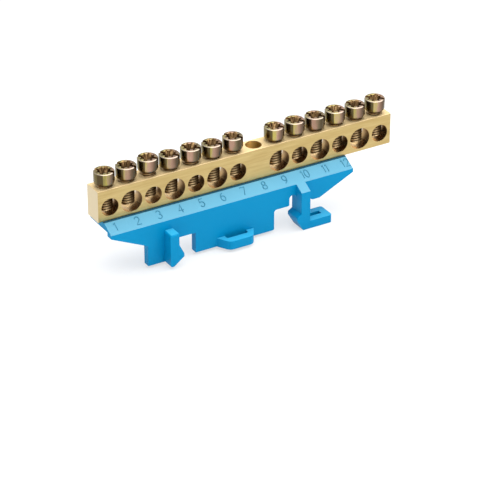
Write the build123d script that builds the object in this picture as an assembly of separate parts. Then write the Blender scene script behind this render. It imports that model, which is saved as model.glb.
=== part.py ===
from build123d import *
import math
import os

# Neutral terminal bar: a drawn brass bar with thirteen screw terminals on a moulded insulator that
# snaps onto a 35 mm top-hat rail. Millimetres. X runs along the bar, Y to the back, Z up.
# The origin is the middle of the rail seat: halfway between hook and latch, in the middle of the web.

# Rail interface
RAIL_WIDTH = 35.0
RAIL_SIDE_GAP = 0.3
RAIL_BLOCK_WIDTH = 22.7
SEAT_TO_BAR = 7.55
BLOCK_DEPTH = 5.65

# Brass bar
PITCH = 6.0
TERMINALS_LEFT = 7
TERMINALS_RIGHT = 6
END_MARGIN = 3.25
BAR_DEPTH = 5.5
BAR_HEIGHT = 8.5
BAR_CORNER_RADIUS = 0.25
SPARE_BORE = 4.2
SPARE_HOLE_FROM_RAIL_CENTRE = 9.25
WIRE_BORE_SMALL = 4.7
WIRE_BORE_LARGE = 5.8
WIRE_AXIS_HEIGHT = 3.65

# Terminal screws, M4
THREAD_DIAMETER = 4.0
THREAD_CLEARANCE = 0.03
TIP_CLEARANCE = 1.5
TIP_CHAMFER = 0.3
HEAD_DIAMETER = 5.25
HEAD_HEIGHT = 3.3
HEAD_TOP_CHAMFER = 0.3
SLOT_WIDTH = 1.0
SLOT_DEPTH = 1.15
CROSS_WIDTH = 0.9
CROSS_SPAN = 4.1
CROSS_FLOOR_SPAN = 1.9
CROSS_DEPTH = 2.0
# How far each head stands off the bar, and the way its slot points, from the first terminal to the last
HEAD_GAPS = (0.7, 0.7, 1.2, 0.55, 0.9, 0.45, 0.8, 0.5, 0.7, 0.55, 0.7, 0.65, 0.9)
SLOT_ANGLES = (-46, -52, -44, -50, -47, -49, -53, -45, -48, -51, -46, -50, -44)

# Insulator
BASE_LENGTH = 69.5
BASE_THICKNESS = 1.8
BAR_SIDE_GAP = 0.15
LIP_HEIGHT = 0.2
LEDGE_REACH = 4.1
LEDGE_ANGLE = 28.0
REAR_LIP = 1.2
WEB_THICKNESS = 2.0
WEB_END_HEIGHT = 0.95
NOTCH_CORNER_RADIUS = 0.75
LEG_WIDTH = 6.95
RIGHT_LAND = 2.95
OUTER_CORNER_RADIUS = 0.4
BACK_CORNER_RADIUS = 1.2
PEG_DIAMETER = 4.1
PEG_HEIGHT = 3.6

# Fixed hook
HOOK_WIDTH = 2.45
HOOK_REACH = 3.4
HOOK_TOP = 3.15
HOOK_TOP_RADIUS = 0.5
HOOK_NOSE = 1.35
HOOK_NOSE_HIGH = 2.7
HOOK_NOSE_LOW = 3.5
HOOK_TIP_WIDTH = 0.9

# Spring latch
ARM_THICKNESS = 2.6
ARM_REACH = 2.65
ARM_SLOT_WIDTH = 2.0
ARM_BACK_SLOT_WIDTH = 1.4
ARM_SLOT_HEIGHT = 2.9
LATCH_NOSE = 1.2
LATCH_NOSE_TOP = 1.8
LATCH_NOSE_DROP = 0.75
LATCH_NOSE_LIP = 0.9
LATCH_DEPTH = 6.45
LATCH_RAMP_END = 0.6
FOOT_LENGTH = 6.6
FOOT_HEIGHT = 2.15
FOOT_BACK_REACH = 0.65
FOOT_CORNER_RADIUS = 0.7
FOOT_SLOT_LENGTH = 4.7
FOOT_SLOT_WIDTH = 1.35
FOOT_SLOT_FRONT_WALL = 2.15

# Loop on the front of the block
LOOP_WIDTH = 10.7
LOOP_FRONT_WIDTH = 6.7
LOOP_REACH = 3.4
LOOP_CORNER_RADIUS = 1.9
LOOP_GAP = 1.3
LOOP_INNER_WIDTH = 6.1
LOOP_INNER_RADIUS = 0.5
LOOP_HEIGHT = 2.35

# Places that follow from the sizes above
WEB_FRONT = -WEB_THICKNESS / 2
WEB_BACK = WEB_THICKNESS / 2
BAR_FRONT = WEB_FRONT + LEDGE_REACH
BAR_BACK = BAR_FRONT + BAR_DEPTH
BAR_MIDDLE = (BAR_FRONT + BAR_BACK) / 2
BAR_BOTTOM = SEAT_TO_BAR
BAR_TOP = BAR_BOTTOM + BAR_HEIGHT
BAR_LENGTH = (TERMINALS_LEFT + TERMINALS_RIGHT) * PITCH + 2 * END_MARGIN
BAR_START = SPARE_HOLE_FROM_RAIL_CENTRE - TERMINALS_LEFT * PITCH - END_MARGIN
SHANK_LENGTH = BAR_HEIGHT - TIP_CLEARANCE
HOOK_FACE = -(RAIL_WIDTH / 2 + RAIL_SIDE_GAP)
ARM_FACE = RAIL_WIDTH / 2 + RAIL_SIDE_GAP
ARM_OUTSIDE = ARM_FACE + ARM_THICKNESS
BASE_HALF = BASE_LENGTH / 2
BASE_UNDERSIDE = BAR_BOTTOM - BASE_THICKNESS
LEDGE_TOP = BAR_BOTTOM + LIP_HEIGHT
LEDGE_SLOPE = math.tan(math.radians(LEDGE_ANGLE))
LEDGE_FRONT_Z = LEDGE_TOP - (LEDGE_REACH - BAR_SIDE_GAP) * LEDGE_SLOPE
WEB_END_Z = LEDGE_FRONT_Z - WEB_END_HEIGHT


def terminal_places():
    """The number and the X of each terminal: those left of the spare hole, then those right of it."""
    steps = list(range(-TERMINALS_LEFT, 0)) + list(range(1, TERMINALS_RIGHT + 1))
    return [(n, SPARE_HOLE_FROM_RAIL_CENTRE + step * PITCH) for n, step in enumerate(steps, start=1)]


def wire_bore(terminal):
    """Odd terminals take the small wire, even ones the large."""
    return WIRE_BORE_SMALL if terminal % 2 else WIRE_BORE_LARGE


def profile_along_x(points, start, end):
    """A solid with the given (y, z) outline, from one x to another."""
    face = make_face(Plane.YZ * Polyline(*points, close=True))
    return Pos(start, 0, 0) * extrude(face, amount=end - start, dir=(1, 0, 0))


def profile_along_y(outline, front, back):
    """A solid with the given outline in X and Z, from the front to the back."""
    return Pos(0, front, 0) * extrude(outline, amount=back - front, dir=(0, 1, 0))


def side_face(points):
    return make_face(Plane.XZ * Polyline(*points, close=True))


def terminal_bar():
    bar = Pos(BAR_START + BAR_LENGTH / 2, BAR_MIDDLE, BAR_BOTTOM + BAR_HEIGHT / 2) * Box(
        BAR_LENGTH, BAR_DEPTH, BAR_HEIGHT)
    bar = fillet(bar.edges().filter_by(Axis.X), BAR_CORNER_RADIUS)
    tapped_depth = BAR_HEIGHT - WIRE_AXIS_HEIGHT
    for terminal, x in terminal_places():
        across = Pos(x, BAR_MIDDLE, BAR_BOTTOM + WIRE_AXIS_HEIGHT) * Rot(90, 0, 0)
        bar -= across * Cylinder(wire_bore(terminal) / 2, 2 * BAR_DEPTH)
        bar -= Pos(x, BAR_MIDDLE, BAR_TOP - tapped_depth / 2) * Cylinder(
            THREAD_DIAMETER / 2 + THREAD_CLEARANCE, tapped_depth)
    bar -= Pos(SPARE_HOLE_FROM_RAIL_CENTRE, BAR_MIDDLE, BAR_BOTTOM + BAR_HEIGHT / 2) * Cylinder(SPARE_BORE / 2, 2 * BAR_HEIGHT)
    bar.label = "terminal_bar"
    return bar


def terminal_screw(terminal, x):
    """A short machine screw with a cylindrical head, slotted right across and with a cross recess."""
    head_foot = BAR_TOP + HEAD_GAPS[terminal - 1]
    head_top = head_foot + HEAD_HEIGHT
    head_radius = HEAD_DIAMETER / 2
    thread_radius = THREAD_DIAMETER / 2
    outline = Polyline(
        (0, head_foot - SHANK_LENGTH),
        (thread_radius - TIP_CHAMFER, head_foot - SHANK_LENGTH),
        (thread_radius, head_foot - SHANK_LENGTH + TIP_CHAMFER),
        (thread_radius, head_foot),
        (head_radius, head_foot),
        (head_radius, head_top - HEAD_TOP_CHAMFER),
        (head_radius - HEAD_TOP_CHAMFER, head_top),
        (0, head_top),
        close=True)
    screw = revolve(make_face(Plane.XZ * outline), Axis.Z)
    slot = Pos(0, 0, head_top - SLOT_DEPTH / 2) * Box(2 * HEAD_DIAMETER, SLOT_WIDTH, SLOT_DEPTH)
    wing = profile_along_y(side_face([
        (-CROSS_SPAN / 2, head_top),
        (CROSS_SPAN / 2, head_top),
        (CROSS_FLOOR_SPAN / 2, head_top - CROSS_DEPTH),
        (-CROSS_FLOOR_SPAN / 2, head_top - CROSS_DEPTH)]), -CROSS_WIDTH / 2, CROSS_WIDTH / 2)
    screw -= Rot(0, 0, SLOT_ANGLES[terminal - 1]) * (slot + wing + Rot(0, 0, 90) * wing)
    screw = Pos(x, BAR_MIDDLE, 0) * screw
    screw.label = f"terminal_screw_{terminal:02d}"
    return screw


def insulator_base():
    """Plate under the bar with a low lip either side; the front one falls away as the numbered ledge."""
    front_lip = BAR_FRONT - BAR_SIDE_GAP
    rear_lip = BAR_BACK + BAR_SIDE_GAP
    base = profile_along_x([
        (front_lip, BAR_BOTTOM),
        (front_lip, LEDGE_TOP),
        (WEB_FRONT, LEDGE_FRONT_Z),
        (WEB_FRONT, WEB_END_Z),
        (WEB_BACK, WEB_END_Z),
        (WEB_BACK, BASE_UNDERSIDE),
        (rear_lip + REAR_LIP, BASE_UNDERSIDE),
        (rear_lip + REAR_LIP, LEDGE_TOP),
        (rear_lip, LEDGE_TOP),
        (rear_lip, BAR_BOTTOM)], -BASE_HALF, BASE_HALF)
    peg = Pos(SPARE_HOLE_FROM_RAIL_CENTRE, BAR_MIDDLE, BAR_BOTTOM + PEG_HEIGHT / 2) * Cylinder(
        PEG_DIAMETER / 2, PEG_HEIGHT)
    return base + peg


def web():
    """Front wall: slanted ends, a leg behind the hook, the block that enters the rail, and the notches."""
    block_half = RAIL_BLOCK_WIDTH / 2
    leg_outside = HOOK_FACE - LEG_WIDTH
    arm_slot_left = ARM_FACE - ARM_SLOT_WIDTH
    arm_slot_right = ARM_OUTSIDE + ARM_BACK_SLOT_WIDTH
    outline = side_face([
        (-BASE_HALF, WEB_END_Z),
        (leg_outside, 0),
        (leg_outside, -BLOCK_DEPTH),
        (HOOK_FACE, -BLOCK_DEPTH),
        (HOOK_FACE, 0),
        (-block_half, 0),
        (-block_half, -BLOCK_DEPTH),
        (block_half, -BLOCK_DEPTH),
        (block_half, 0),
        (arm_slot_right + RIGHT_LAND, 0),
        (BASE_HALF, WEB_END_Z),
        (BASE_HALF, LEDGE_FRONT_Z),
        (-BASE_HALF, LEDGE_FRONT_Z)])
    wall = profile_along_y(outline, WEB_FRONT, WEB_BACK)
    wall = fillet(edges_at(wall, block_half, 0), NOTCH_CORNER_RADIUS)
    wall = fillet(edges_at(wall, block_half, -BLOCK_DEPTH), OUTER_CORNER_RADIUS)
    wall -= arm_slot(arm_slot_left, ARM_FACE)
    wall -= arm_slot(ARM_OUTSIDE, arm_slot_right)
    wall = fillet(edges_at(wall, arm_slot_left, 0), OUTER_CORNER_RADIUS)
    return fillet(edges_at(wall, arm_slot_right, 0), BACK_CORNER_RADIUS)


def edges_at(solid, x, z):
    """The edges that run front to back through one corner of the web's outline."""
    return solid.edges().filter_by(Axis.Y).filter_by(
        lambda e: abs(e.center().X - x) < 1e-4 and abs(e.center().Z - z) < 1e-4)


def arm_slot(left, right):
    """A slot with a round top that frees one side of the latch arm."""
    width = right - left
    middle = (left + right) / 2
    straight = ARM_SLOT_HEIGHT - width / 2
    depth = BLOCK_DEPTH + straight
    cut = Pos(middle, 0, straight - depth / 2) * Box(width, 2 * WEB_THICKNESS, depth)
    return cut + Pos(middle, 0, straight) * Rot(90, 0, 0) * Cylinder(width / 2, 2 * WEB_THICKNESS)


def hook():
    """Fixed hook over the rail's left edge, standing forward of the web."""
    outside = HOOK_FACE - HOOK_WIDTH
    points = [
        (outside, HOOK_TOP),
        (outside, -BLOCK_DEPTH),
        (outside + HOOK_TIP_WIDTH, -BLOCK_DEPTH),
        (HOOK_FACE + HOOK_NOSE, -HOOK_NOSE_LOW),
        (HOOK_FACE + HOOK_NOSE, -HOOK_NOSE_HIGH),
        (HOOK_FACE, 0),
        (HOOK_FACE, HOOK_TOP)]
    body = profile_along_y(side_face(points), WEB_FRONT - HOOK_REACH, WEB_BACK)
    body = fillet(edges_at(body, outside, -BLOCK_DEPTH), OUTER_CORNER_RADIUS)
    body = fillet(edges_at(body, HOOK_FACE + HOOK_NOSE, -HOOK_NOSE_HIGH), OUTER_CORNER_RADIUS)
    body = fillet(edges_at(body, HOOK_FACE, 0), 2 * OUTER_CORNER_RADIUS)
    top = body.faces().sort_by(Axis.Z)[-1].edges()
    return fillet([top.sort_by(Axis.Y)[0], top.sort_by(Axis.X)[0]], HOOK_TOP_RADIUS)


def latch():
    """Spring arm with its nose, ramp and foot; its top carries the ledge's slope on to the front."""
    front = WEB_FRONT - ARM_REACH
    bottom = -LATCH_DEPTH
    nose_x = ARM_FACE - LATCH_NOSE
    nose_z = -(LATCH_NOSE_TOP + LATCH_NOSE_DROP)
    profile = profile_along_y(side_face([
        (ARM_FACE, LEDGE_TOP),
        (ARM_FACE, -LATCH_NOSE_TOP),
        (nose_x, nose_z),
        (nose_x, nose_z - LATCH_NOSE_LIP),
        (ARM_FACE + LATCH_RAMP_END, bottom),
        (ARM_OUTSIDE, bottom),
        (ARM_OUTSIDE, LEDGE_TOP)]), front, WEB_BACK)
    profile = fillet(edges_at(profile, nose_x, nose_z), OUTER_CORNER_RADIUS / 2)
    under_ledge = profile_along_x([
        (WEB_BACK, bottom),
        (front, bottom),
        (front, LEDGE_FRONT_Z - ARM_REACH * LEDGE_SLOPE),
        (WEB_FRONT, LEDGE_FRONT_Z),
        (WEB_BACK, LEDGE_FRONT_Z)], nose_x, ARM_OUTSIDE)
    return (profile & under_ledge) + latch_foot(front, bottom)


def latch_foot(front, bottom):
    """Foot of the latch, with the slot for a screwdriver's tip right beside the arm."""
    depth = ARM_REACH + WEB_THICKNESS + FOOT_BACK_REACH
    length = ARM_THICKNESS / 2 + FOOT_LENGTH
    foot = Pos(ARM_OUTSIDE + FOOT_LENGTH - length / 2, front + depth / 2, bottom + FOOT_HEIGHT / 2) * Box(
        length, depth, FOOT_HEIGHT)
    foot = fillet(foot.edges().filter_by(Axis.Z).sort_by(Axis.X)[-2:], FOOT_CORNER_RADIUS)
    slot_y = front + FOOT_SLOT_FRONT_WALL + FOOT_SLOT_WIDTH / 2
    slot = Pos(ARM_OUTSIDE + FOOT_SLOT_LENGTH / 2, slot_y, bottom + FOOT_HEIGHT / 2) * Box(
        FOOT_SLOT_LENGTH, FOOT_SLOT_WIDTH, 2 * FOOT_HEIGHT)
    return foot - slot


def loop():
    """Small bracket on the front of the block, open top and bottom."""
    outer = make_face(Polyline(
        (-LOOP_WIDTH / 2, WEB_FRONT),
        (-LOOP_FRONT_WIDTH / 2, WEB_FRONT - LOOP_REACH),
        (LOOP_FRONT_WIDTH / 2, WEB_FRONT - LOOP_REACH),
        (LOOP_WIDTH / 2, WEB_FRONT),
        close=True))
    outer = fillet(outer.vertices().sort_by(Axis.Y)[:2], LOOP_CORNER_RADIUS)
    inner = Pos(0, WEB_FRONT - LOOP_GAP / 2) * Rectangle(LOOP_INNER_WIDTH, LOOP_GAP)
    inner = fillet(inner.vertices().sort_by(Axis.Y)[:2], LOOP_INNER_RADIUS)
    return Pos(0, 0, -BLOCK_DEPTH) * extrude(outer - inner, amount=LOOP_HEIGHT)


def insulator():
    body = insulator_base() + web() + hook() + latch() + loop()
    body.label = "insulator"
    return body


def write_parts():
    os.makedirs("parts", exist_ok=True)
    pieces = [terminal_bar(), insulator()]
    for terminal, x in terminal_places():
        pieces.append(terminal_screw(terminal, x))
    for piece in pieces:
        export_step(piece, f"parts/{piece.label}.step")
        print(piece.label, "solids", len(piece.solids()), "volume", round(piece.volume, 1))


write_parts()
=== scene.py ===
import math

import bmesh
import bpy
from mathutils import Matrix, Vector


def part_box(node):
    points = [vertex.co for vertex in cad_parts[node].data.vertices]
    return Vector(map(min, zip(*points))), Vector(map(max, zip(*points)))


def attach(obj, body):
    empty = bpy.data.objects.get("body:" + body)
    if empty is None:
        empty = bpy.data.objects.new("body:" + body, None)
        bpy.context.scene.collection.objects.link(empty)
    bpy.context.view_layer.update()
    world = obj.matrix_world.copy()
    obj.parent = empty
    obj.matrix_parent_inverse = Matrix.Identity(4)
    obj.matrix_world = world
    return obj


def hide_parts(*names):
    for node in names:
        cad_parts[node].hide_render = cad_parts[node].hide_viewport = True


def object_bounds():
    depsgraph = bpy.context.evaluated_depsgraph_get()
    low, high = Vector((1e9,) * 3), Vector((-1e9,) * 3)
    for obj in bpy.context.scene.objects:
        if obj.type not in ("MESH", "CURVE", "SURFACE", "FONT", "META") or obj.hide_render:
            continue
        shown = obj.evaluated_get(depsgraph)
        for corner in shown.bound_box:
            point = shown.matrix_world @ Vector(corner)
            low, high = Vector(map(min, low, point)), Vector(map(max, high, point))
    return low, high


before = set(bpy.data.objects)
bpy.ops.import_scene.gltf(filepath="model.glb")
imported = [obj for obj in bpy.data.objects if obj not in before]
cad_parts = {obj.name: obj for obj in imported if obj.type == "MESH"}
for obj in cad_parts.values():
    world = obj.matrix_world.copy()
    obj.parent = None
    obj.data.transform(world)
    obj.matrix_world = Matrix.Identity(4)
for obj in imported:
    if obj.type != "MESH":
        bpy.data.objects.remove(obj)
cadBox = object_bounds()
mm = 0.001


class Wire:
    # a socket that takes + - * < > and abs, and adds the Math nodes by itself
    def __init__(self, finish, socket):
        self.finish, self.socket = finish, socket

    def __add__(self, other):
        return self.finish.math("ADD", self, other)

    def __radd__(self, other):
        return self.finish.math("ADD", other, self)

    def __sub__(self, other):
        return self.finish.math("SUBTRACT", self, other)

    def __rsub__(self, other):
        return self.finish.math("SUBTRACT", other, self)

    def __mul__(self, other):
        return self.finish.math("MULTIPLY", self, other)

    def __rmul__(self, other):
        return self.finish.math("MULTIPLY", other, self)

    def __gt__(self, other):
        return self.finish.math("GREATER_THAN", self, other)

    def __lt__(self, other):
        return self.finish.math("LESS_THAN", self, other)

    def __abs__(self):
        return self.finish.math("ABSOLUTE", self)

    def clamped(self):
        return self.finish.node("Clamp", {}, {"Value": self})

    def rise(self, low, high):
        # 0 up to low, 1 from high on
        return ((self - low) * (1 / (high - low))).clamped()

    def within(self, low, high):
        return (self > low) * (self < high)


class Finish:
    # one material, or the world: every node comes from node()
    def __init__(self, name, owner=None):
        self.material = owner or bpy.data.materials.new(name)
        self.material.use_nodes = True
        self.tree = self.material.node_tree
        self.tree.nodes.clear()

    def node(self, kind, settings, sockets, output=0):
        made = self.tree.nodes.new("ShaderNode" + kind)
        for key, value in settings.items():
            if key == "stops":
                ramp = made.color_ramp
                ramp.elements[0].position, ramp.elements[0].color = value[0][0], (*value[0][1], 1)
                ramp.elements[1].position, ramp.elements[1].color = value[-1][0], (*value[-1][1], 1)
                for place, colour in value[1:-1]:
                    ramp.elements.new(place).color = (*colour, 1)
            else:
                setattr(made, key, value)
        for key, value in sockets.items():
            if isinstance(value, Wire):
                self.tree.links.new(value.socket, made.inputs[key])
            else:
                made.inputs[key].default_value = value
        return None if output is None else Wire(self, made.outputs[output])

    def math(self, operation, *values):
        return self.node("Math", {"operation": operation}, dict(enumerate(values)))

    def axes(self, vector):
        split = self.node("SeparateXYZ", {}, {0: vector})
        return [Wire(self, output) for output in split.socket.node.outputs]

    def place(self, stretch):
        here = self.node("TexCoord", {}, {}, "Object")
        return self.node("VectorMath", {"operation": "MULTIPLY"}, {0: here, 1: stretch})

    def millimetres(self):
        return self.axes(self.place((1 / mm, 1 / mm, 1 / mm)))

    def facing(self):
        # x, y and z of the surface's own direction
        return self.axes(self.node("NewGeometry", {}, {}, "Normal"))

    def noise(self, stretch, scale, detail=2.0, roughness=0.5):
        where = stretch if isinstance(stretch, Wire) else self.place(stretch)
        return self.node("TexNoise", {}, {"Vector": where, "Scale": scale, "Detail": detail,
                                          "Roughness": roughness})

    def ramp(self, amount, stops):
        return self.node("ValToRGB", {"stops": stops}, {"Fac": amount})

    def colours(self, amount, first, second):
        rgba = [c if isinstance(c, Wire) else (*c, 1) for c in (first, second)]
        return self.node("Mix", {"data_type": "RGBA"}, {0: amount, 6: rgba[0], 7: rgba[1]}, 2)

    def bump(self, height, strength, reach):
        return self.node("Bump", {}, {"Height": height, "Strength": strength, "Distance": reach * mm})

    def shown(self, shader):
        ending = "OutputWorld" if isinstance(self.material, bpy.types.World) else "OutputMaterial"
        self.node(ending, {}, {"Surface": shader}, None)
        return self.material

    def done(self, sockets):
        return self.shown(self.node("BsdfPrincipled", {}, sockets))


# camera, floor and light: the lens and its sensor in mm, the rest in metres
studio = {
    "lens": 180.0,
    "sensor": 36.0,
    "clip": (0.01, 10),
    "cameraPlace": Vector((-0.26368, -0.45262, 0.29057)),
    "cameraAim": Vector((0.00019, -0.00299, -0.00440)),
    "floorSize": 3.0,
    "floorColours": ((0.87, 0.87, 0.87), (0.89, 0.89, 0.89)), "floorGrain": 40.0,
    "floorGlow": (0.06, 0.22),            # how far from the middle the floor starts and ends turning plain white
    "shadowFade": 0.62,                   # how much of the shadow the floor's own white takes away
    "white": 1.0,                         # strength of the plain white round the object
    "worldLight": 0.30,
    "softboxes": [
        # name, place, size, power; each one aims at the middle
        ("overheadSoftbox", (0.16, 0.02, 0.70), (1.4, 1.4), 17.5),
        ("frontSoftbox", (-0.10, -0.80, 0.30), (0.5, 0.4), 0.5),
    ],
}


def setCamera():
    data = bpy.data.cameras.new("photoCamera")
    data.lens, data.sensor_width = studio["lens"], studio["sensor"]
    data.clip_start, data.clip_end = studio["clip"]
    camera = bpy.data.objects.new("photoCamera", data)
    bpy.context.scene.collection.objects.link(camera)
    look = studio["cameraAim"] - studio["cameraPlace"]
    camera.location = studio["cameraPlace"]
    camera.rotation_euler = look.to_track_quat("-Z", "Y").to_euler()
    bpy.context.scene.camera = camera


def whiteToRays(finish, names):
    # 1 where one of these rays looks, so that it sees plain white
    first, *others = [finish.node("LightPath", {}, {}, name) for name in names]
    return sum(others, first).clamped()


def makeFloor():
    half, low = studio["floorSize"] / 2, cadBox[0][2]
    mesh = bpy.data.meshes.new("studioFloor")
    mesh.from_pydata([(-half, -half, low), (half, -half, low), (half, half, low), (-half, half, low)], [],
                     [(0, 1, 2, 3)])
    floor = bpy.data.objects.new("studioFloor", mesh)
    bpy.context.scene.collection.objects.link(floor)
    finish = Finish("studioFloor")
    grain = finish.noise((1, 1, 1), studio["floorGrain"])
    paper = finish.node("BsdfDiffuse", {}, {"Color": finish.colours(grain, *studio["floorColours"])})
    white = finish.node("Emission", {}, {"Strength": studio["white"]})
    x, y = finish.axes(finish.place((1, 1, 1)))[:2]
    far = finish.math("SQRT", x * x + y * y).rise(*studio["floorGlow"])
    seen = finish.node("LightPath", {}, {}, "Is Camera Ray")
    glow = seen * (studio["shadowFade"] + (1 - studio["shadowFade"]) * far)
    turned = (whiteToRays(finish, ("Is Glossy Ray", "Is Transmission Ray")) + glow).clamped()
    mesh.materials.append(finish.shown(finish.node("MixShader", {}, {0: turned, 1: paper, 2: white})))


def lightStudio():
    world = bpy.data.worlds.new("studioWorld")
    bpy.context.scene.world = world
    finish = Finish("studioWorld", world)
    fill = finish.node("Background", {}, {"Strength": studio["worldLight"], "Color": (1, 1, 1, 1)})
    white = finish.node("Background", {}, {"Strength": studio["white"], "Color": (1, 1, 1, 1)})
    turned = whiteToRays(finish, ("Is Camera Ray", "Is Glossy Ray", "Is Transmission Ray"))
    finish.shown(finish.node("MixShader", {}, {0: turned, 1: fill, 2: white}))
    for name, place, size, power in studio["softboxes"]:
        data = bpy.data.lights.new(name, "AREA")
        data.shape, data.size, data.size_y, data.energy = "RECTANGLE", *size, power
        lamp = bpy.data.objects.new(name, data)
        lamp.location = place
        lamp.rotation_euler = (-Vector(place)).to_track_quat("-Z", "Y").to_euler()
        bpy.context.scene.collection.objects.link(lamp)
    bpy.context.scene.view_settings.view_transform = "Standard"


setCamera()
makeFloor()
lightStudio()
print("camera, floor and light are set")


# the insulator's plastic
# from here on lengths are in mm, a noise is its stretch, scale, detail and roughness,
# a bump is its strength and reach, and a rise is where a mask starts and where it is full
moulding = {
    "edge": 0.13,                                    # width of its broken edges
    "melt": ((0.000, 0.240, 0.490), (0.000, 0.272, 0.540)),
    "flow": ((1, 1, 1), 90.0, 3.0),                  # slow change of the melt's tint
    "grain": ((1, 1, 1), 9000.0, 2.0),               # spark-eroded mould skin
    "grainBump": (0.25, 0.02),
    "scuffs": ((1, 6, 3), 500.0, 4.0),
    "sloping": (0.70, 0.97),                         # how far up the numbered ledge and the latch arm look
    "ledge": ((-3.63, 2.93), (4.22, 7.74)),          # the y and z that the two lie in
    # painted sheen: the sloping ledge and latch arm are drawn a lighter blue than the rest of the plastic
    "ledgeTint": (0.165, 0.440, 0.590), "ledgeSheenMix": 0.8,
    "litFlatTint": (0.048, 0.440, 0.675), "litFlatMix": 0.7,       # painted light on the other faces that look up
    "shadedCrease": ((2.50, 3.20), 7.40),                  # painted shade in the corner under the bar: its y, and from this z
    "shadedCreaseTint": (0.004, 0.050, 0.085), "shadedCreaseMix": 0.95,
    "roughness": 0.34, "scuffed": 0.12, "ledgeRoughness": 0.08,
    "gloss": 0.08,
}


def mouldedBlue():
    finish = Finish("mouldedBlue")
    flow, grain, scuffs = [finish.noise(*moulding[name]) for name in ("flow", "grain", "scuffs")]
    x, y, z = finish.millimetres()
    up = finish.facing()[2]
    ledgeY, ledgeZ = moulding["ledge"]
    ledge = up.within(*moulding["sloping"]) * y.within(*ledgeY) * z.within(*ledgeZ)
    flat = (up > moulding["sloping"][1]) * (z < ledgeZ[0])
    creaseY, creaseFoot = moulding["shadedCrease"]
    shadedCrease = y.within(*creaseY) * (z > creaseFoot)
    tint = finish.colours(flow, *moulding["melt"])
    # painted sheen on the sloping ledge and latch arm
    tint = finish.colours(moulding["ledgeSheenMix"] * ledge, tint, moulding["ledgeTint"])
    # painted light on the other faces that look up
    tint = finish.colours(moulding["litFlatMix"] * flat, tint, moulding["litFlatTint"])
    # painted shade along the corner under the bar
    tint = finish.colours(moulding["shadedCreaseMix"] * shadedCrease, tint, moulding["shadedCreaseTint"])
    return finish.done({
        "Base Color": tint,
        "Roughness": moulding["roughness"] + moulding["scuffed"] * scuffs + moulding["ledgeRoughness"] * ledge,
        "Specular IOR Level": moulding["gloss"],
        "Normal": finish.bump(grain, *moulding["grainBump"]),
    })


bar = {
    "edge": 0.04,
    "inside": ((-35.82, 48.32), (3.27, 8.43), (7.72, 15.88)),        # x, y and z of what only the drills reach
    "face": ((0.655, 0.475, 0.190), (0.800, 0.625, 0.285)),
    "stains": ((0.12, 1, 1), 900.0, 3.0, 0.6), "stainRise": (0.308, 0.692),          # drawn out along the bar
    "streaks": ((0.03, 1, 1), 4600.0, 4.0, 0.7), "streakRise": (0.227, 1.136),       # lines left by the die
    "streak": (0.56, 0.39, 0.145),
    "sawn": (0.82, 0.71, 0.50), "sawnMix": 0.9, "sawnFrom": 0.85,    # how far aside the sawn ends look
    "sawLines": ((1, 0.1, 1), 3000.0, 3.0),
    "bump": (0.3, 0.03),
    # painted shade: the top face is drawn a darker, paler brass than the front
    "top": (0.61, 0.495, 0.305), "topShadeMix": 0.75, "topFrom": 0.96,    # how far up the top looks
    "edgeShadeTint": (0.38, 0.28, 0.15), "edgeShadeMix": 0.9, "edgeShadeFrom": 0.2,         # painted shade on the edges round the top, to dim their highlight
    # the wire holes: their wall by the mouth, darker with painted shade, and lighter further in, over this y
    "drilled": ((0.30, 0.180, 0.070), (0.56, 0.37, 0.165)), "drillDepth": (3.9, 5.4),
    "rings": ((0.3, 2.5, 0.3), 1500.0, 2.0), "ringRise": (0.364, 0.818),     # left by the drill
    "toolMark": (0.62, 0.43, 0.21), "toolMix": 0.5,
    # painted light on the floor of the holes, where it looks up
    "litHoleFloor": (0.58, 0.395, 0.185), "litHoleFloorRise": (0.35, 0.975),
    # a painted glint, a bright strip on their side walls: z of its foot, and its near side, far side and soft
    # rim, as distances from the screw's axis at the bar's front, which grow by the slope towards the back
    "glint": (0.98, 0.91, 0.78), "glintRise": (0.45, 0.736), "glintFoot": (10.6, 11.8),
    "glintReach": (0.30, 1.06, 0.111), "glintSlope": 0.587, "front": 3.1, "pitch": 6.0,
    # the plain hole: its axis and reach along the bar, its painted light in the middle and painted shade at the
    # sides, and where off the axis they blend
    "spareAxis": 9.25, "spareReach": 2.4,
    "litSpareWall": ((1.00, 0.68, 0.23), (0.36, 0.21, 0.04)), "spareBand": (0.255, 1.955),
    "roughness": {"plain": 0.28, "streaks": 0.14, "sawn": 0.12, "top": 0.40, "drilled": -0.10, "spare": 0.34},
}


def drilledWall(finish, x, y, z, aside, up):
    start, end, soft = bar["glintReach"]
    rings = finish.noise(*bar["rings"])
    # painted shade: the wall is darker by the mouth and lighter further in
    wall = finish.colours(y.rise(*bar["drillDepth"]), *bar["drilled"])
    # painted light on the floor of the holes
    wall = finish.colours(up.rise(*bar["litHoleFloorRise"]), wall, bar["litHoleFloor"])
    offAxis = finish.math("PINGPONG", x - bar["spareAxis"], bar["pitch"] / 2)
    reach = offAxis - bar["glintSlope"] * (y - bar["front"])
    # painted glint on the far side walls, above the axis
    glint = aside.rise(*bar["glintRise"]) * z.rise(*bar["glintFoot"])
    glint = glint * reach.rise(start, start + soft) * (1 - reach.rise(end - soft, end))
    wall = finish.colours(glint, wall, bar["glint"])
    return finish.colours(bar["toolMix"] * rings.rise(*bar["ringRise"]), wall, bar["toolMark"])


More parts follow.
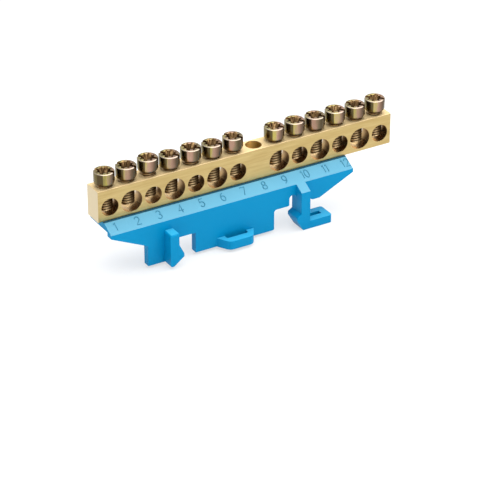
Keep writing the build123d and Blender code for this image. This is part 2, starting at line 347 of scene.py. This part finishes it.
def drawnBrass():
    finish = Finish("drawnBrass")
    stains, streaks, sawLines = [finish.noise(*bar[name]) for name in ("stains", "streaks", "sawLines")]
    x, y, z = finish.millimetres()
    inside = 1.0
    for along, reach in zip((x, y, z), bar["inside"]):
        inside = inside * along.within(*reach)
    facing = finish.facing()
    aside, up = abs(facing[0]), facing[2]
    sawn, top = aside > bar["sawnFrom"], up > bar["topFrom"]
    offMiddle = abs(x - bar["spareAxis"])
    spare = offMiddle < bar["spareReach"]
    # painted light down the middle of the plain hole's wall, painted shade at its sides
    litSpareWall = finish.colours(offMiddle.rise(*bar["spareBand"]), *bar["litSpareWall"])
    wall = finish.colours(spare, drilledWall(finish, x, y, z, aside, up), litSpareWall)
    tint = finish.colours(stains.rise(*bar["stainRise"]), *bar["face"])
    tint = finish.colours(streaks.rise(*bar["streakRise"]), tint, bar["streak"])
    tint = finish.colours(bar["sawnMix"] * sawn, tint, bar["sawn"])
    # painted shade on the bar's top face
    tint = finish.colours(bar["topShadeMix"] * top, tint, bar["top"])
    # painted shade on the edges round the top
    tint = finish.colours(bar["edgeShadeMix"] * (up > bar["edgeShadeFrom"]) * (1 - top), tint, bar["edgeShadeTint"])
    rough = bar["roughness"]
    skin = rough["plain"] + rough["streaks"] * streaks + rough["sawn"] * sawn
    skin = skin + rough["top"] * top * (1 - inside)
    return finish.done({
        "Base Color": finish.colours(inside, tint, wall),
        "Metallic": 1.0,
        "Roughness": skin + inside * (rough["drilled"] * (1 - spare) + rough["spare"] * spare),
        "Normal": finish.bump(streaks + sawn * (sawLines - streaks), *bar["bump"]),
    })


# thirteen screws
screw = {
    "headDiameter": 5.25, "headHeight": 3.3, "headChamfer": 0.17, "headSegments": 72,
    "footRound": 0.55, "footBulge": 0.3,             # the foot's rounding, and the share cut off at its middle
    "shank": 7.0, "crest": 3.96, "root": 3.20, "tipChamfer": 0.3, "intoHead": 0.15,
    "threadPitch": 0.7, "threadSegments": 40,
    "threadShares": (0.0, 0.34, 0.50, 0.84),         # root, crest, crest and root along one pitch
    "threadMerge": 0.0008, "threadThin": 0.0004,     # points closer than this, and edges shorter, are joined
    "slotWidth": 1.0, "slotDepth": 1.15,
    # wings of the recess: turns in degrees, width, reach across at the top and at the floor, depth
    "wings": [((0, 90), 0.9, 4.4, 1.9, 2.0), ((45, 135), 0.5, 4.2, 1.7, 1.7)],
    "wellTop": 3.2, "wellFloor": 2.3, "wellDepth": 1.6, "wellSegments": 40,
    "cutAbove": 0.4,                                 # how far the cutters stand out of the head
    "edge": 0.06, "edgeSegments": 2, "edgeAngle": 30, "smoothAngle": 28,
    "markFrom": 0.8, "markSkin": 0.05,               # the recess is marked from this height, this far inside
    "slotAngles": (-46, -52, -44, -50, -47, -49, -53, -45, -48, -51, -46, -50, -44),
}


coat = {
    "across": (0.8625, -0.506),                     # the painted reflection bands are laid along this direction
    "reflectionBands": [(0.00, 0.42), (0.11, 0.40), (0.16, 0.08), (0.40, 0.12), (0.435, 1.00), (0.62, 0.95), (0.76, 0.50),
              (0.87, 0.12), (1.00, 0.22)],          # painted reflection: how light the head is over its width
    "shift": 0.15, "ripple": 0.05,                  # how far the bands stray by screw, and along their edges
    "topFrom": 0.6, "topReflection": 0.44,               # how far up the head's top looks, and how light its painted reflection is
    "clearest": 1.06, "ownShade": 0.30, "otherSeed": 7.3,       # some screws are darker than others
    "footShade": 0.7,                               # the shade ends this far above the foot
    # the zinc in painted shade and in the dark bands of its painted reflection
    "dark": (0.072, 0.050, 0.028),
    "rainbow": [(0.22, (0.46, 0.40, 0.13)), (0.36, (0.70, 0.60, 0.15)), (0.48, (0.70, 0.52, 0.28)),
                (0.60, (0.67, 0.41, 0.30)), (0.76, (0.58, 0.35, 0.25)), (0.92, (0.37, 0.32, 0.18))],
    # a spot's place in the rainbow: a start, and what its screw, its place across the head as painted reflection
    # colour, and the mottling add
    "hueStart": -0.25, "hueOwn": 0.55, "hueReflected": 0.90, "hueMottle": 0.5,
    # the mottling: its shift from screw to screw, its stretch in z, and its scale for each mm with its detail
    "mottleShift": 31.7, "mottleFlat": 0.25, "mottle": (1.3, 2.0),
    "fine": ((1, 1, 1), 5200.0, 3.0), "fineBump": (0.12, 0.02),
    # painted highlight on the chamfer round the head's top
    "rimHighlight": (0.41, 0.35, 0.29), "rimHighlightMix": 0.8, "rimHighlightFacing": (0.30, 0.95), "rimHighlightFrom": 2.9,
    # painted shade in the recess: dark zinc with lighter flecks
    "recess": (0.110, 0.060, 0.024), "recessFleck": (0.66, 0.42, 0.19), "fleckRise": (0.475, 0.725),
    "recessFloor": 1.9, "recessShade": 0.45, "recessDark": (0.0, 0.0, 0.0),      # darkest from this z down
    # painted light on the thread: bright crests, dark roots, lit most across the middle of the shank
    "thread": (1.00, 0.74, 0.41), "threadDark": (0.115, 0.066, 0.026), "threadEdge": (1.64, 1.86),
    "threadLight": [(0.05, 0.35), (0.20, 0.85), (0.45, 1.00), (0.64, 0.90), (0.80, 0.15), (1.00, 0.03)],
    "flankLight": (0.7, 0.6),                       # light on a level flank, and what one that looks up adds
    "grime": (0.15, 0.10, 0.05), "grimeMix": 0.3,
    "roughness": {"plain": 0.15, "fine": 0.14, "recess": 0.10, "thread": 0.20},
}


def greys(stops):
    return [(place, (value, value, value)) for place, value in stops]


# painted shade in the recess: dark, and darker still towards its floor, with lighter flecks
def recessColour(finish, z, mottled):
    inner = finish.colours(mottled.rise(*coat["fleckRise"]), coat["recess"], coat["recessFleck"])
    depth = 1 - z.rise(coat["recessFloor"], screw["headHeight"])
    return finish.colours(coat["recessShade"] * depth, inner, coat["recessDark"])


# painted light on the thread: lit crests across the middle of the shank, painted shade at its sides and in the
# roots
def threadColour(finish, x, y, up, along):
    lit = finish.ramp(0.5 + (1 / screw["crest"]) * along, greys(coat["threadLight"]))
    level, more = coat["flankLight"]
    crest = finish.math("SQRT", x * x + y * y).rise(*coat["threadEdge"]) * (level + more * up).clamped()
    return finish.colours(lit * crest, coat["threadDark"], coat["thread"])


def zincYellow():
    # yellow passivated zinc: its rainbow differs from screw to screw; across each head it carries painted
    # reflections in light and dark bands and in hue
    finish = Finish("zincYellow")
    x, y, z = finish.millimetres()
    up = finish.facing()[2]
    which = 1 / mm * finish.axes(finish.node("ObjectInfo", {}, {}, "Location"))[0]       # where the screw stands
    own, other = [finish.node("TexWhiteNoise", {"noise_dimensions": "1D"}, {"W": seed}, "Value")
                  for seed in (which, which + coat["otherSeed"])]
    shifted = finish.node("CombineXYZ", {}, {
        0: x + coat["mottleShift"] * which, 1: y, 2: coat["mottleFlat"] * z})
    mottled = finish.noise(shifted, *coat["mottle"])
    fine = finish.noise(*coat["fine"])
    along = coat["across"][0] * x + coat["across"][1] * y
    headShare = 0.5 + (1 / screw["headDiameter"]) * along
    stray = coat["shift"] * (own - 0.5) + coat["ripple"] * (mottled - 0.5)
    # painted reflection in light and dark bands across the head, a painted level for its top, painted shade at
    # its foot, and some screws darker at random
    clear = finish.ramp(headShare + stray, greys(coat["reflectionBands"]))
    clear = (clear + (up > coat["topFrom"]) * (coat["topReflection"] - clear)) * z.rise(0, coat["footShade"])
    clear = clear * (coat["clearest"] - coat["ownShade"] * other).clamped()
    hue = coat["hueOwn"] * own + coat["hueReflected"] * headShare + coat["hueMottle"] * (mottled - 0.5)
    tint = finish.colours(clear, coat["dark"], finish.ramp(hue + coat["hueStart"], coat["rainbow"]))
    # painted highlight on the chamfer round the head's top
    rimHighlight = up.within(*coat["rimHighlightFacing"]) * (z > coat["rimHighlightFrom"])
    tint = finish.colours(coat["rimHighlightMix"] * rimHighlight, tint, coat["rimHighlight"])
    recess, thread = [finish.node("Attribute", {"attribute_name": mark}, {}, "Fac")
                      for mark in ("recess", "thread")]
    tint = finish.colours(recess, tint, recessColour(finish, z, mottled))
    tint = finish.colours(thread, tint, threadColour(finish, x, y, up, along))
    rough = coat["roughness"]
    return finish.done({
        "Base Color": finish.colours(coat["grimeMix"] * fine, tint, coat["grime"]),
        "Metallic": 1.0,
        "Roughness": rough["plain"] + rough["fine"] * fine + rough["recess"] * recess + rough["thread"] * thread,
        "Normal": finish.bump(fine, *coat["fineBump"]),
    })


# the two CAD nodes that stay as they are, with their edges broken; angles in degrees
carried = {"weld": 0.0005, "flat": 0.6, "edgeAngle": 32, "edgeSegments": 2}


def dressNode(name, material, edgeWidth):
    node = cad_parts[name]
    mesh = node.data
    mesh.materials.clear()
    mesh.materials.append(material)
    if "custom_normal" in mesh.attributes:
        mesh.attributes.remove(mesh.attributes["custom_normal"])
    mesh.shade_smooth()
    weld = node.modifiers.new("weld", "WELD")
    weld.merge_threshold = carried["weld"] * mm
    flat = node.modifiers.new("flat", "DECIMATE")
    flat.decimate_type, flat.angle_limit = "DISSOLVE", math.radians(carried["flat"])
    edge = node.modifiers.new("edge", "BEVEL")
    edge.width, edge.segments = edgeWidth * mm, carried["edgeSegments"]
    edge.limit_method, edge.angle_limit = "ANGLE", math.radians(carried["edgeAngle"])
    edge.use_clamp_overlap = True
    edge.harden_normals = True


dressNode("insulator", mouldedBlue(), moulding["edge"])
dressNode("terminal_bar", drawnBrass(), bar["edge"])
print("the insulator and the bar have their finishes")


def spin(outline, segments):
    # a lathe body from pairs of radius and height
    body = bmesh.new()
    rings = []
    for radius, height in outline:
        if radius == 0:
            rings.append([body.verts.new((0, 0, height))])
            continue
        rings.append([body.verts.new((radius * math.cos(2 * math.pi * i / segments),
                                      radius * math.sin(2 * math.pi * i / segments), height))
                      for i in range(segments)])
    for low, high in zip(rings, rings[1:]):
        for i in range(segments):
            j = (i + 1) % segments
            if len(low) == 1:
                body.faces.new((low[0], high[j], high[i]))
            elif len(high) == 1:
                body.faces.new((low[i], low[j], high[0]))
            else:
                body.faces.new((low[i], low[j], high[j], high[i]))
    bmesh.ops.recalc_face_normals(body, faces=body.faces)
    return body


def toObject(body, name):
    mesh = bpy.data.meshes.new(name)
    body.to_mesh(mesh)
    body.free()
    made = bpy.data.objects.new(name, mesh)
    bpy.context.scene.collection.objects.link(made)
    return made


def finishedMesh(made, name):
    # the mesh with its modifiers worked in
    bpy.context.view_layer.update()
    shape = made.evaluated_get(bpy.context.evaluated_depsgraph_get())
    mesh = bpy.data.meshes.new_from_object(shape)
    mesh.name = name
    return mesh


def recessWing(turn, width, across, acrossFloor, depth):
    # one tapered wing of the recess
    top, over = screw["headHeight"], screw["cutAbove"]
    wide, narrow = across / 2, acrossFloor / 2
    outward = (wide - narrow) / depth
    reach, half = wide + outward * over, width / 2
    body = bmesh.new()
    low, high = [[body.verts.new((x, y, z))
                  for x, y in ((-out, -half), (out, -half), (out, half), (-out, half))]
                 for out, z in ((narrow, top - depth), (reach, top + over))]
    body.faces.new(low[::-1])
    body.faces.new(high)
    for i in range(4):
        j = (i + 1) % 4
        body.faces.new((low[i], low[j], high[j], high[i]))
    bmesh.ops.rotate(body, verts=body.verts, matrix=Matrix.Rotation(math.radians(turn), 3, "Z"))
    return toObject(body, "recessWing")


def slotCutter():
    over = 1                                         # it stands out of the head by this
    length, width, height = screw["headDiameter"] + 2 * over, screw["slotWidth"], screw["slotDepth"] + over
    body = bmesh.new()
    bmesh.ops.create_cube(body, size=1)
    bmesh.ops.scale(body, vec=(length, width, height), verts=body.verts)
    floor = screw["headHeight"] - screw["slotDepth"]
    bmesh.ops.translate(body, vec=(0, 0, floor + height / 2), verts=body.verts)
    return toObject(body, "slotCutter")


def wellCutter():
    top, over, depth = screw["headHeight"], screw["cutAbove"], screw["wellDepth"]
    wide, narrow = screw["wellTop"] / 2, screw["wellFloor"] / 2
    flare = (wide - narrow) / depth * over
    outline = [(0, top - depth), (narrow, top - depth), (wide + flare, top + over), (0, top + over)]
    return toObject(spin(outline, screw["wellSegments"]), "wellCutter")


def screwHead():
    radius, height = screw["headDiameter"] / 2, screw["headHeight"]
    top, foot = screw["headChamfer"], screw["footRound"]
    bulge = screw["footBulge"] * foot
    outline = [(0, 0), (radius - foot, 0), (radius - bulge, bulge), (radius, foot), (radius, height - top),
               (radius - top, height), (0, height)]
    head = toObject(spin(outline, screw["headSegments"]), "head")
    cutters = [wellCutter(), slotCutter()]
    cutters += [recessWing(turn, *size) for turns, *size in screw["wings"] for turn in turns]
    for cutter in cutters:
        cut = head.modifiers.new("cut", "BOOLEAN")
        cut.operation, cut.object, cut.solver = "DIFFERENCE", cutter, "EXACT"
    edge = head.modifiers.new("edge", "BEVEL")
    edge.width, edge.segments = screw["edge"], screw["edgeSegments"]
    edge.limit_method, edge.angle_limit = "ANGLE", math.radians(screw["edgeAngle"])
    mesh = finishedMesh(head, "screwHead")
    for made in [head] + cutters:
        bpy.data.objects.remove(made)
    return mesh


def screwThread():
    # one rising sheet wound round the shank; rows outside the shank close up at its ends
    pitch, segments = screw["threadPitch"], screw["threadSegments"]
    crest, root = screw["crest"] / 2, screw["root"] / 2
    rows = list(zip(screw["threadShares"], (root, crest, crest, root)))
    low, high = -screw["shank"], screw["intoHead"]
    tip, chamfer = crest - screw["tipChamfer"], screw["tipChamfer"]
    turns = int(math.ceil((high - low) / pitch)) + 2
    body = bmesh.new()
    grid = []
    for i in range(segments):
        line = []
        angle = 2 * math.pi * i / segments
        for k in range(turns):
            for share, radius in rows:
                z = low + (k - 1 + share + i / segments) * pitch
                z = min(max(z, low), high)
                limit = tip + (z - low) if z < low + chamfer else crest
                r = min(radius, limit) if low < z < high else (tip if z <= low else root)
                line.append(body.verts.new((r * math.cos(angle), r * math.sin(angle), z)))
        grid.append(line)
    for i in range(segments):
        j = (i + 1) % segments
        step = len(rows) if j == 0 else 0            # a full turn rises by one pitch
        for k in range(turns * len(rows) - 1 - step):
            body.faces.new((grid[i][k], grid[j][k + step], grid[j][k + 1 + step], grid[i][k + 1]))
    bmesh.ops.remove_doubles(body, verts=body.verts, dist=screw["threadMerge"])
    bmesh.ops.dissolve_degenerate(body, edges=body.edges, dist=screw["threadThin"])
    bmesh.ops.holes_fill(body, edges=body.edges, sides=0)
    bmesh.ops.recalc_face_normals(body, faces=body.faces)
    mesh = bpy.data.meshes.new("screwThread")
    body.to_mesh(mesh)
    body.free()
    return mesh


def markFaces(body):
    # recess is 1 on the walls and floors of the slot, the wings and the well, and thread is 1 below the head
    recess = body.faces.layers.float.new("recess")
    thread = body.faces.layers.float.new("thread")
    radius, top, chamfer = screw["headDiameter"] / 2, screw["headHeight"], screw["headChamfer"]
    for face in body.faces:
        place = face.calc_center_median()
        skin = radius - max(0, chamfer - (top - place.z)) - screw["markSkin"]
        within = screw["markFrom"] < place.z < top - screw["markSkin"]
        face[recess] = 1.0 if within and math.hypot(place.x, place.y) < skin else 0.0
        face[thread] = 1.0 if place.z < 0 else 0.0


def screwMesh(material):
    body = bmesh.new()
    for part in (screwHead(), screwThread()):
        body.from_mesh(part)
    markFaces(body)
    bmesh.ops.scale(body, vec=(mm, mm, mm), verts=body.verts)
    for edge in body.edges:
        edge.smooth = edge.calc_face_angle(0) < math.radians(screw["smoothAngle"])
    for face in body.faces:
        face.smooth = True
    mesh = bpy.data.meshes.new("clampScrew")
    body.to_mesh(mesh)
    body.free()
    mesh.materials.append(material)
    return mesh


def setScrews():
    pattern = screwMesh(zincYellow())
    for number, angle in enumerate(screw["slotAngles"], 1):
        node = f"terminal_screw_{number:02d}"
        low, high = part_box(node)
        mesh = pattern.copy()
        mesh.transform(Matrix.Rotation(math.radians(angle), 4, "Z"))
        piece = bpy.data.objects.new(f"clampScrew_{number:02d}", mesh)
        bpy.context.scene.collection.objects.link(piece)
        piece.location = ((low.x + high.x) / 2, (low.y + high.y) / 2, high.z - screw["headHeight"] * mm)
        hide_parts(node)
        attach(piece, f"screw_{number:02d}")


setScrews()
print("thirteen screws stand in the bar")


# terminal numbers on the ledge
numbers = {
    "height": 2.3, "width": 1.25, "oneWidth": 0.54, "digitGap": 0.38, "stroke": 0.13, "rise": 0.03,
    "roundness": 2,                                  # bevel steps of a stroke
    "firstX": -32.45, "pitch": 6.0, "count": 12,
    "ledgeMiddle": (0.975, 6.70), "ledgeAngle": 28,  # y and z of the ledge's middle, and its slope in degrees
    # painted shade: the digits are the ledge's own plastic, drawn a darker blue for the shade along their
    # strokes
    "shadedBlue": ((0.014, 0.200, 0.330), (0.022, 0.235, 0.380)),
    "grain": ((1, 1, 1), 6000.0), "roughness": 0.45, "grainRoughness": 0.1,
}


def numberBlue():
    finish = Finish("numberBlue")
    grain = finish.noise(*numbers["grain"])
    return finish.done({
        # painted shade on the digits
        "Base Color": finish.colours(grain, *numbers["shadedBlue"]),
        "Roughness": numbers["roughness"] + numbers["grainRoughness"] * grain,
    })


def arc(cx, cy, rx, ry, start, end, steps=12):
    return [(cx + rx * math.cos(math.radians(start + (end - start) * i / steps)),
             cy + ry * math.sin(math.radians(start + (end - start) * i / steps))) for i in range(steps + 1)]


# the digits' lines, in a box one wide and one high
strokes = {
    "0": [arc(0.5, 0.5, 0.46, 0.5, 90, 450, 20)],
    "1": [[(0.05, 0.80), (0.70, 1.0), (0.70, 0.0)]],
    "2": [arc(0.5, 0.70, 0.46, 0.30, 165, -30) + [(0.02, 0.0), (1.0, 0.0)]],
    "3": [arc(0.47, 0.755, 0.42, 0.245, 155, -85), arc(0.47, 0.26, 0.49, 0.26, 88, -155)],
    "4": [[(0.72, 0.0), (0.72, 1.0), (0.0, 0.30), (1.0, 0.30)]],
    "5": [[(0.92, 1.0), (0.18, 1.0), (0.10, 0.54)] + arc(0.47, 0.32, 0.49, 0.32, 125, -150)],
    "6": [arc(0.5, 0.31, 0.46, 0.31, 0, 360, 20), arc(0.95, 0.31, 0.91, 0.69, 180, 105, 8)],
    "7": [[(0.0, 1.0), (1.0, 1.0), (0.35, 0.0)]],
    "8": [arc(0.5, 0.76, 0.38, 0.24, 0, 360, 18), arc(0.5, 0.26, 0.47, 0.26, 0, 360, 18)],
    "9": [arc(0.5, 0.69, 0.46, 0.31, 0, 360, 20), arc(0.05, 0.69, 0.91, 0.69, 0, -75, 8)],
}


def makeNumbers(material):
    curve = bpy.data.curves.new("terminalNumbers", "CURVE")
    curve.dimensions, curve.use_fill_caps = "3D", True
    curve.bevel_depth, curve.bevel_resolution = numbers["stroke"] * mm, numbers["roundness"]
    slope = math.radians(numbers["ledgeAngle"])
    up = Vector((0, math.cos(slope), math.sin(slope)))
    out = Vector((0, -math.sin(slope), math.cos(slope)))
    middleY, middleZ = numbers["ledgeMiddle"]
    for k in range(numbers["count"]):
        text = str(k + 1)
        widths = [numbers["oneWidth"] if digit == "1" else numbers["width"] for digit in text]
        total = sum(widths) + numbers["digitGap"] * (len(text) - 1)
        left = numbers["firstX"] + k * numbers["pitch"] - total / 2
        for digit, width in zip(text, widths):
            for stroke in strokes[digit]:
                line = curve.splines.new("POLY")
                line.points.add(len(stroke) - 1)
                for point, (u, v) in zip(line.points, stroke):
                    place = (Vector((left + u * width, middleY, middleZ))
                             + up * (v - 0.5) * numbers["height"] + out * numbers["rise"])
                    point.co = (*(place * mm), 1)
            left += width + numbers["digitGap"]
    piece = bpy.data.objects.new("terminalNumbers", curve)
    bpy.context.scene.collection.objects.link(piece)
    curve.materials.append(material)
    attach(piece, "bar_and_insulator")


makeNumbers(numberBlue())
print("numbers 1 to 12 are on the ledge")
